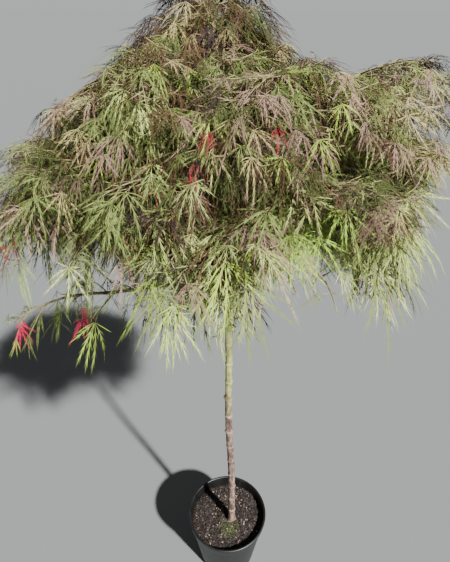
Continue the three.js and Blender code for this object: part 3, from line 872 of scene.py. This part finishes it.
def soil_finish():
    """Damp bark-based mix: near black to brown by fine noise, pale in a few specks where it is highest,
    and raised by the same noise."""
    material = finish("potting_mix", Roughness=0.9, Specular_IOR_Level=0.2)
    tree = material.node_tree
    crumbs = cloud(tree, (160, 160, 160), 6.0, 0.7)
    wire(material, "Base Color", ramp(tree, crumbs, (0.38, "0a0706"), (0.54, "1d1512"), (0.68, "43352a"),
                                      (0.8, "7d6b55")))
    bump(material, crumbs, 0.8, 0.002)
    return material


# The camera, the light and the floor

# Lamps: kind, place, what they point at, size (the sun's as an angle), and power
LAMPS = dict(key_light=("SUN", (1.6, -1.9, 3.6), (0, 0, 1.2), math.radians(2.4), 13.8),
             fill_light=("AREA", (-2.4, -1.4, 2.2), (0, 0, 1.1), 2.4, 5))
# The half widths and heights of the floor's level middle and its far edge, in metres
FLOOR = ((300, 0), (900, 20))


def set_stage():
    """A camera at the photograph's angle, a sun from high in front on the right, a weak broad light from
    the left, an even pale surround, and a plain pale floor. The floor is level round the plant, and rises
    a little towards its far edge."""
    data = bpy.data.cameras.new("camera")
    data.lens, data.sensor_width = CAMERA_LENS, SENSOR
    data.clip_start, data.clip_end = 0.01, 2000
    camera = stood("camera", data)
    camera.location = CAMERA_PLACE
    camera.rotation_euler = (math.radians(CAMERA_PITCH), 0, 0)
    bpy.context.scene.camera = camera
    for name, (kind, spot, aim, size, power) in LAMPS.items():
        lamp = bpy.data.lights.new(name, kind)
        lamp.energy = power
        if kind == "SUN":
            lamp.angle = size
        else:
            lamp.size = size
        light = stood(name, lamp)
        light.location = spot
        away = np.array(spot) - np.array(aim)
        level = math.hypot(away[0], away[1])
        light.rotation_euler = (math.atan2(level, away[2]), 0, math.atan2(away[1], away[0]) + math.pi / 2)
    world = bpy.data.worlds.new("surround")
    world.use_nodes = True
    even = world.node_tree.nodes["Background"].inputs
    even["Color"].default_value = (0.8, 0.84, 0.86, 1)
    even["Strength"].default_value = 0.24
    bpy.context.scene.world = world
    mesh = bpy.data.meshes.new("floor")
    square = ((-1, -1), (1, -1), (1, 1), (-1, 1))
    mesh.from_pydata([(half * x, half * y, z) for half, z in FLOOR for x, y in square], [],
                     [(0, 1, 2, 3), (4, 5, 1, 0), (5, 6, 2, 1), (6, 7, 3, 2), (7, 4, 0, 3)])
    mesh.materials.append(finish("floor", Base_Color=(0.135, 0.14, 0.14, 1), Roughness=0.95))
    floor = stood("floor", mesh)


# The pot and the mix

# How finely the pot is cut: columns all round, and steps of its lip, foot, wall and inside
POT_CUTS = dict(columns=96, lip=9, foot=6, wall=12, inside=8)
# The mix: how far its flat middle lies below its top, the flat's radius, how deep and wide the dish round
# it is, each size of crumbs' height, width and seed, and how its side lies: clear of the pot's floor, in
# from the pot's foot, up to a shoulder below its top, and out to its edge
SOIL = dict(below=1.5, flat=52, dish=5, dish_width=60, crumbs=((1.6, 22, 1), (1.1, 8, 2), (0.7, 3.2, 3)),
            clear=0.3, foot_in=3.5, shoulder=6.5, edge=114.0, columns=220, rows=90)
# Litter on the mix: its kind, then how many, their seed, size, flatness and how far out they lie, and then
# their colour and roughness
LITTER = (("bark_chip", (900, 1, 9, 0.35, 108), "281e18", 0.8),
          ("dark_chip", (700, 2, 7, 0.5, 110), "120e0c", 0.85),
          ("pale_bit", (220, 3, 5, 0.4, 106), "8b7a62", 0.8))
# A chip's place above the mix, the ranges of its length, width and thickness, and the most that its
# corners, tilt and roll vary. Then the patch of moss: its middle, half width and depth, and its spikes
CHIP = dict(lifted=0.6, length=(0.45, 1.3), width=(0.25, 0.6), thickness=(0.5, 1), uneven=0.3, tilt=0.5,
            roll=0.6)
MOSS = dict(count=900, seed=4, middle=(8, -38), half=(30, 34), sunk=0.5, lean=0.8, tall=(2.5, 6))


def pot_piece():
    """The pot is turned about the upright: a profile of (radius, height) points from the middle of its
    underside over the rim to the middle of its floor, with the corners of the lip and foot rounded."""
    taper = (POT["rim"] - POT["step"] - POT["foot"]) / POT["height"]

    def outer(z):
        """The wall's outside radius at a height: the taper's straight line."""
        return POT["rim"] - POT["step"] - taper * (POT["height"] - z)

    def inner(z):
        """The wall's inside radius at a height."""
        return outer(z) - POT["wall"]

    top, floor, rounding = POT["height"], POT["floor"], POT["foot_round"]
    band_foot, band = top - POT["band"], POT["rim"] - taper * POT["band"]
    lip_middle, lip_half = (POT["rim"] + inner(top)) / 2, (POT["rim"] - inner(top)) / 2
    foot = np.radians(np.linspace(-90, 0, POT_CUTS["foot"]))
    lip = np.radians(np.linspace(0, 180, POT_CUTS["lip"]))
    # Rows close to each edge keep the smooth shading of the walls even up to it
    profile = [(0, 0)]
    profile += [(outer(0) - rounding * (1 - math.cos(a)), rounding * (1 + math.sin(a))) for a in foot]
    profile += [(outer(z), z) for z in np.linspace(20, band_foot - 1.5, POT_CUTS["wall"])]
    profile += [(outer(band_foot) + 0.4, band_foot - 0.4), (band - 0.5, band_foot),
                (band, band_foot + POT["slope"])]
    profile += [(POT["rim"] - taper * (top - z), z) for z in (band_foot + 4, top - 12, top - 4)]
    profile += [(lip_middle + lip_half * math.cos(a), top - 2 + 2 * math.sin(a)) for a in lip]
    profile += [(inner(z), z) for z in np.linspace(top - 6, floor + 2, POT_CUTS["inside"])]
    profile += [(inner(floor) - 2, floor), (0, floor)]
    radius, height = np.array(profile).T
    angle = all_round(POT_CUTS["columns"])
    return shell(xyz(radius[:, None] * np.cos(angle), radius[:, None] * np.sin(angle), height[:, None]))


def soil_height(x, y):
    """The mix's surface: flat in the middle, lower by the wall by a square law, and crumbled by three
    sizes of noise."""
    reach = np.hypot(x, y)
    spot = xyz(x, y, 0)
    dish = -SOIL["dish"] * np.clip((reach - SOIL["flat"]) / SOIL["dish_width"], 0, 1) ** 2
    crumble = sum(high * noise(spot / wide, seed) for high, wide, seed in SOIL["crumbs"])
    return SOIL_TOP - SOIL["below"] + dish + crumble


def soil_piece():
    """The mix as a closed turned piece: its underside and side follow the pot's wall, and its top is the
    crumbled surface."""
    angle = all_round(SOIL["columns"])
    low, shoulder = POT["floor"] + SOIL["clear"], SOIL_TOP - SOIL["shoulder"]
    foot, edge = POT["foot"] - SOIL["foot_in"], SOIL["edge"]
    side = [(0, low), (foot - 2, low), (foot - 0.5, low + 8), (edge - 0.4, shoulder - 4)]
    reach = np.concatenate([[r for r, _ in side], np.linspace(edge, 0, SOIL["rows"])])
    x, y = reach[:, None] * np.cos(angle), reach[:, None] * np.sin(angle)
    z = soil_height(x, y)
    for row, (_, height) in enumerate(side):
        z[row] = height
    z[-1] = z[-1].mean()
    return shell(xyz(x, y, z))


def scattered(n, seed, middle, half, rise):
    """Places spread evenly over an ellipse of the mix by seeded draws: the square root of one is the way
    out from the middle, and another is the bearing. They lie above the surface by a rise."""
    reach, bearing = np.sqrt(draw(n, seed, 0)), 2 * np.pi * draw(n, seed, 1)
    x = middle[0] + half[0] * reach * np.cos(bearing)
    y = middle[1] + half[1] * reach * np.sin(bearing)
    return xyz(x, y, soil_height(x, y) + rise)


def soil_litter(count, seed, size, flat, spread):
    """Chips of bark or grit: eight-cornered blocks, each with its own size, roll, tilt and turn by seeded
    draws, scattered over a disc of the mix. Returns points and faces."""
    n = np.arange(count)
    middle = scattered(n, seed, (0, 0), (spread, spread), CHIP["lifted"])
    length = size * mix(*CHIP["length"], draw(n, seed, 2) ** 1.5)
    extents = xyz(length, length * mix(*CHIP["width"], draw(n, seed, 3)),
                  length * flat * mix(*CHIP["thickness"], draw(n, seed, 4))) / 2
    corners = np.array([(i, j, k) for i in (-1, 1) for j in (-1, 1) for k in (-1, 1)], float)
    uneven = np.stack([swing(n[:, None], 8 * seed + np.arange(8), 5 + axis) for axis in range(3)], axis=-1)
    block = corners * extents[:, None] * (1 + CHIP["uneven"] * uneven)
    turn = 2 * np.pi * draw(n, seed, 9)
    tilt, roll = CHIP["tilt"] * swing(n, seed, 10), CHIP["roll"] * swing(n, seed, 11)
    for (a, b), angle in (((1, 2), roll), ((0, 2), tilt), ((0, 1), turn)):
        c, s = np.cos(angle)[:, None], np.sin(angle)[:, None]
        first, second = block[..., a].copy(), block[..., b].copy()
        block[..., a] = c * first - s * second
        block[..., b] = s * first + c * second
    faces = np.array([(0, 1, 3, 2), (4, 6, 7, 5), (0, 4, 5, 1), (2, 3, 7, 6), (0, 2, 6, 4), (1, 5, 7, 3)])
    base = 8 * n[:, None, None]
    return (middle[:, None] + block).reshape(-1, 3), [(base + faces).reshape(-1, 4)]


def moss():
    """A patch of moss in front of the trunk: short three-sided spikes that lean all ways."""
    n, seed = np.arange(MOSS["count"]), MOSS["seed"]
    foot = scattered(n, seed, MOSS["middle"], MOSS["half"], -MOSS["sunk"])
    lean = xyz(MOSS["lean"] * swing(n, seed, 2), MOSS["lean"] * swing(n, seed, 3), 1)
    tall = mix(*MOSS["tall"], draw(n, seed, 4))[:, None]
    angle = 2 * np.pi * (np.arange(3) / 3 + draw(n[:, None], seed, 5))
    ring = xyz(np.cos(angle), np.sin(angle), 0)
    points = np.concatenate([foot[:, None] + ring, (foot + lean * tall)[:, None]], axis=1)
    faces = np.array([(0, 1, 3), (1, 2, 3), (2, 0, 3), (2, 1, 0)])
    return points.reshape(-1, 3), [(4 * n[:, None, None] + faces).reshape(-1, 3)]


# The trunk and the boughs

# The trunk's mesh: how far into the mix it goes, where its low rings end and how many there are, where its
# high ones start and how many there are, its columns, and the most that its flare stands out as a share
TRUNK_MESH = dict(sunk=5, low=(300, 60), high=(302, 470), columns=36, most_flare=1.4)
# A joint's half height, how many more there are higher up and their share of the swelling, and the
# groove's depth, its height above the joint, and its own half height
JOINT = dict(height=4.5, more=7, less=0.5, groove=0.5, groove_at=4, groove_height=1.2)
# Stubs of old buds: height, bearing in radians, and how far they stand out. Then their half height and half
# width, and the radius that they stand on
STUBS = ((770, 3.05, 5.0), (330, 5.2, 2.4), (455, 4.2, 2.2), (578, 1.0, 2.6), (640, 3.4, 2.2))
STUB = dict(height=4, width=3.2, radius=9)
# The bark's relief is noise: how many of its cells a radius spans, how tall a cell is and how high it
# stands, then how many times finer a second one is along each axis and how high that stands
RELIEF = dict(across=3.2, up=26, height=0.45, finer=(3, 3, 2), fine_height=0.3)
# The boughs' limbs: their radii, sides and steps, and for each size of noise its share of the girth, its
# width and its seed
LIMB = dict(root=5.4, tip=3.3, sides=12, steps=44, uneven=((0.1, 9, 6), (0.08, 30, 7)))


def trunk_piece():
    """The trunk is a grid of rings round its axis. A ring's radius is the taper and the root flare of the
    solids, a smooth swelling at each joint with a fine groove over it, a few bud stubs, and the bark's
    relief from noise that is drawn out upwards."""
    z = np.concatenate([np.linspace(SOIL_TOP - TRUNK_MESH["sunk"], *TRUNK_MESH["low"]),
                        np.linspace(TRUNK_MESH["high"][0], TRUNK["top"], TRUNK_MESH["high"][1])])
    height, turn = z[:, None], all_round(TRUNK_MESH["columns"])[None]
    radius = np.interp(height, (SOIL_TOP, TRUNK["mid_height"], TRUNK["top"]),
                       (TRUNK["foot_radius"], TRUNK["mid_radius"], TRUNK["head_radius"]))
    wave = np.cos(TRUNK["flare_roots"] * turn + TRUNK["flare_turn"])
    flare = TRUNK["flare"] * (1 + TRUNK["flare_wave"] * (wave - 1))
    flare = flare * np.exp((SOIL_TOP - height) / TRUNK["flare_height"])
    radius = radius + np.minimum(flare, TRUNK_MESH["most_flare"] * TRUNK["flare"])
    for joint in range(TRUNK["joints"] + JOINT["more"]):
        above = height - TRUNK["first_joint"] - joint * TRUNK["joint_spacing"]
        swell = TRUNK["joint_swell"] * (1 if joint < TRUNK["joints"] else JOINT["less"])
        groove = JOINT["groove"] * np.exp(-((above - JOINT["groove_at"]) / JOINT["groove_height"]) ** 2)
        radius = radius + swell * np.exp(-(above / JOINT["height"]) ** 2) - groove
    for at, bearing, out in STUBS:
        up = (height - at) / STUB["height"]
        beside = np.abs((turn - bearing + np.pi) % (2 * np.pi) - np.pi) * STUB["radius"] / STUB["width"]
        radius = radius + out * np.exp(-up ** 2 - beside ** 2)
    x, y = np.cos(turn), np.sin(turn)
    spot = xyz(RELIEF["across"] * x, RELIEF["across"] * y, height / RELIEF["up"])
    radius = (radius + RELIEF["height"] * noise(spot, 4)
              + RELIEF["fine_height"] * noise(spot * RELIEF["finer"], 5))
    points = trunk_axis(z)[:, None] + xyz(radius * x, radius * y, 0)
    ends = [np.broadcast_to(trunk_axis(end), (1, *points.shape[1:])) for end in (z[0], z[-1])]
    return shell(np.concatenate([ends[0], points, ends[1]]))


def bough_pieces(plan):
    """The boughs as tapering round limbs with a slightly uneven girth, from inside the trunk to their
    tips."""
    controls = np.array([entry["bough"] for entry in plan if entry["bough"] is not None])
    points, faces = tubes(controls, LIMB["root"], LIMB["tip"], LIMB["sides"], LIMB["steps"])
    centre = bezier(controls[:, None], np.linspace(0, 1, LIMB["steps"] + 1)).reshape(-1, 3)
    centre = np.repeat(centre, LIMB["sides"], axis=0)
    girth = sum((high * noise(points / wide, seed) for high, wide, seed in LIMB["uneven"]), 1)
    return centre + (points - centre) * column(girth), faces


# Tints, dealt out by spray

TINTS = {
    "pale_green": "9ba561", "green": "646f3c", "olive": "3b4122", "lime": "91a546", "straw": "96895d",
    "bronze": "463525", "rose_brown": "7e6659", "plum": "35292a", "red": "96243a", "wine": "661a28",
    "fresh_green": "86a044",
}
# The share of each tint in each tier's sprays, in the tints' order but without the last three
TIER_TINTS = {
    "crest": (0.01, 0.08, 0.28, 0.00, 0.05, 0.34, 0.12, 0.12),
    "upper": (0.06, 0.19, 0.28, 0.03, 0.05, 0.17, 0.16, 0.06),
    "middle": (0.13, 0.19, 0.22, 0.05, 0.08, 0.13, 0.15, 0.05),
    "skirt": (0.33, 0.31, 0.17, 0.11, 0.02, 0.04, 0.02, 0.00),
    "shoot": (0.20, 0.10, 0.10, 0.25, 0.25, 0.05, 0.05, 0.00),
}
# Below this height, and a little higher or lower by spray, leaves take the skirt's tints
SHADED = dict(height=1365, vary=30)
# The share of leaves that pick a tint for themselves
OWN_PICK = 0.42
# Where leaves have turned, or are fresh: the middle of the place by the leaves' hubs, how far round it they
# have, their tint, and the share of them
TURNED = [
    ((-16, -284, 1488), 18, "red", 0.6), ((46, -280, 1496), 17, "red", 0.6),
    ((-44, -262, 1450), 18, "red", 0.8), ((-87, -255, 1421), 16, "red", 0.5),
    ((-58, -238, 1242), 10, "wine", 1.0), ((-300, -262, 1334), 15, "wine", 0.9),
    ((-327, -190, 1333), 14, "wine", 0.9), ((-385, -175, 1110), 42, "red", 0.7),
    ((-266, -139, 1146), 24, "red", 0.9), ((290, 130, 1530), 120, "plum", 0.4),
    ((400, 60, 1520), 100, "plum", 0.4), ((330, 130, 1530), 80, "wine", 0.12),
    ((-300, 60, 1460), 70, "plum", 0.3), ((230, 210, 1450), 22, "red", 0.7),
    ((-60, 300, 1300), 22, "red", 0.7), ((76, -285, 1382), 30, "fresh_green", 0.7),
    ((120, -265, 1374), 40, "fresh_green", 0.65),
]


def deal_tints(plan, leaves):
    """The number of each leaf's tint. A spray's seeded draw picks its tint by the shares of its tier, and
    by the skirt's shares low down. A share of the leaves pick for themselves, and some near the turned
    places take the tint of the place."""
    tiers = [entry["name"] for entry in plan]
    bounds = np.array([np.cumsum(TIER_TINTS[name]) / sum(TIER_TINTS[name]) for name in tiers])
    mass, spray, part = leaves["mass"], leaves["spray"], leaves["part"]
    own = draw(mass, part, TINT) < OWN_PICK
    chance = np.where(own, draw(mass, part, OWN_TINT), draw(mass, spray, SPRAY_TINT))
    shaded = leaves["hub"][:, 2] < SHADED["height"] + SHADED["vary"] * swing(mass, spray, SHADE_TINT)
    row = np.where(shaded & (mass < SHOOT), tiers.index("skirt"), mass)
    tint = np.sum(chance[:, None] > bounds[row], axis=-1)
    names = list(TINTS)
    for middle, radius, name, share in TURNED:
        near = np.linalg.norm(leaves["hub"] - np.array(middle), axis=-1) < radius
        tint = np.where(near & (draw(mass, part, TURNED_TINT) < share), names.index(name), tint)
    return tint


def all_leaves(plan, carriers):
    """The leaves of the whole crown: on every limb one at its end, and by a seeded chance one on each side
    at its stations. Those near the fringe and in the top tiers hang. They are left out where they would
    hang below the fringe, stand above the top line or lie in the notch, and thinned by a chance low
    down."""
    full = np.array([entry["fullness"] for entry in plan])
    groups = []
    for limbs, stations in carriers:
        groups.append(leaves_of(limbs, 1.0, 0, 0))
        for k, station in enumerate(stations):
            for side in (-1, 1):
                grown = draw(limbs[1], limbs[2], PAIRS + 3 * k + side) < PAIRED * full[limbs[1]]
                groups.append(leaves_of(picked(limbs, grown), station, side, 2 * k + (side + 3) // 2))
    leaves = {name: np.concatenate([group[name] for group in groups]) for name in groups[0]}
    root, mass = leaves["root"], leaves["mass"]
    leaves["scale"] = leaf_scale(root[:, 2]) * mix(SPARSE_SCALE, 1, full[mass]) * growth(root, mass)
    low = 1 - np.clip((root[:, 2] - fringe_height(root, 0)) / TASSEL["above"], 0, 1)
    top = np.array([TOP_HANG.get(entry["name"], 0) for entry in plan])
    leaves["hang"] = np.maximum(low, top[mass])
    hub, lobe, _, length = leaf_frames(leaves)
    leaves["hub"] = hub
    too_low = hub[:, 2] + (lobe[:, 2] - HANGS) * length < fringe_height(hub, mass)
    too_high = hub[:, 2] > top_height(hub) + OVER_TOP
    few = np.interp(hub[:, 2], *FEWER_LEAVES)
    kept = ~(too_low | too_high | in_notch(hub)) & (draw(mass, leaves["part"], FEW) < few)
    return {name: values[kept] for name, values in leaves.items()}


def carrying(limbs, leaves, numbers):
    """Those limbs that carry a leaf: the ones whose mass and number are among the leaves' own."""
    return picked(limbs, np.isin(limbs[1] * NUMBERS + limbs[2], leaves["mass"] * NUMBERS + numbers))


# A stem is cut where the last leaf or twig is as near as this to one of its steps, but not before a share
# of it
CUT = dict(near=8, steps=50, least=0.1)
# The radii of stems where they start and end, and of twigs, their twigs and stalks, and how many sides and
# steps each of them has
GIRTH = dict(crest=5.0, main=3.4, side=2.4, stem_end=1.5, twig_end=0.8, fine_end=0.5, stalk=0.7)
TUBE_CUTS = dict(stem=(8, 14), twig=(5, 5), fine=(3, 3), stalk=(3, 1))


def cut_back(stems, masses, roots, root_masses):
    """Stems cut off where the last leaf or twig leaves them. The first share of a Bezier curve has its
    start, the mix of the first two control points by that share, and the curve's own point there."""
    t = np.linspace(0, 1, CUT["steps"] + 1)
    short = []
    for stem, mass in zip(stems, masses):
        gaps = np.linalg.norm(bezier(stem, t)[:, None] - roots[root_masses == mass], axis=-1)
        last = np.max(t[np.min(gaps, axis=1) < CUT["near"]], initial=CUT["least"])
        short.append([stem[0], mix(stem[0], stem[1], last), bezier(stem, last)])
    return np.array(short)


def grow_crown(plan):
    """Stems, twigs, leaves and leaf stalks of the whole crown. Twigs that carry no leaf are left out, and
    stems end where the last leaf or twig leaves them. The stems and twigs are joined into one piece, the
    stalks into another, and the leaves tint by tint."""
    stems = np.array([stem for entry in plan for stem in entry["stems"]])
    masses = np.array([mass for mass, entry in enumerate(plan) for _ in entry["stems"]])
    main = pooled((side_twigs(plan), bough_spurs(plan)))
    under_top(main[0])
    fine = sub_twigs(*main)
    on_stems = (stems, masses, STEM_NUMBERS + np.arange(len(stems)))
    leaves = all_leaves(plan, ((main, TWIG_LEAVES), (fine, SUB_LEAVES), (on_stems, STEM_LEAVES)))
    fine = carrying(fine, leaves, leaves["part"] // PLACES)
    main = carrying(main, leaves, leaves["spray"])
    stems = cut_back(stems, masses, np.concatenate([leaves["root"], main[0][:, 0]]),
                     np.concatenate([leaves["mass"], main[1]]))
    tint = deal_tints(plan, leaves)
    young = (tint == list(TINTS).index("red")) & (leaves["root"][:, 0] > SHOOT_END)
    leaves["scale"] = leaves["scale"] * np.where(young, YOUNG, 1)
    for number, (name, colour) in enumerate(TINTS.items()):
        chosen = {key: value[tint == number] for key, value in leaves.items()}
        if len(chosen["mass"]):
            points, faces = leaf_points(chosen)
            add_piece("leaves_" + name, points, faces, leaf_finish(name, colour), "foliage",
                      MASS_NODES, smooth=False)
    girth = np.array([GIRTH["crest" if entry["bough"] is None else "main" if order == 0 else "side"]
                      for entry in plan for order in range(len(entry["stems"]))])
    limbs = [tubes(stems, girth, GIRTH["stem_end"], *TUBE_CUTS["stem"]),
             tubes(main[0], GIRTH["stem_end"], GIRTH["twig_end"], *TUBE_CUTS["twig"]),
             tubes(fine[0], GIRTH["twig_end"], GIRTH["fine_end"], *TUBE_CUTS["fine"])]
    add_piece("twigs", *joined(limbs), plain("twig", "7c7350", 0.55), "young_bark")
    stalks = tubes(np.stack([leaves["root"], leaves["hub"]], axis=-2), GIRTH["stalk"], GIRTH["fine_end"],
                   *TUBE_CUTS["stalk"])
    add_piece("leaf_stalks", *stalks, plain("leaf_stalk", "8c8556", 0.5), "foliage")


MASS_NODES = sorted(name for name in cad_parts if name.startswith("mass_"))
BOUGH_NODES = sorted(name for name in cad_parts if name.startswith("bough_"))

set_stage()
add_piece("nursery_pot", *pot_piece(), pot_finish(), "pot", ["pot"])
add_piece("potting_mix", *soil_piece(), soil_finish(), "potting_mix", ["soil"])
for kind, sizes, colour, roughness in LITTER:
    add_piece(kind + "s", *soil_litter(*sizes), plain(kind, colour, roughness), "potting_mix", smooth=False)
add_piece("moss", *moss(), plain("moss", "55602c", 0.85), "potting_mix", smooth=False)
add_piece("trunk_bark", *trunk_piece(), bark_finish(), "bark", ["trunk"])
crown = crown_plan()
add_piece("boughs", *bough_pieces(crown), young_bark_finish(), "young_bark", BOUGH_NODES)
grow_crown(crown)
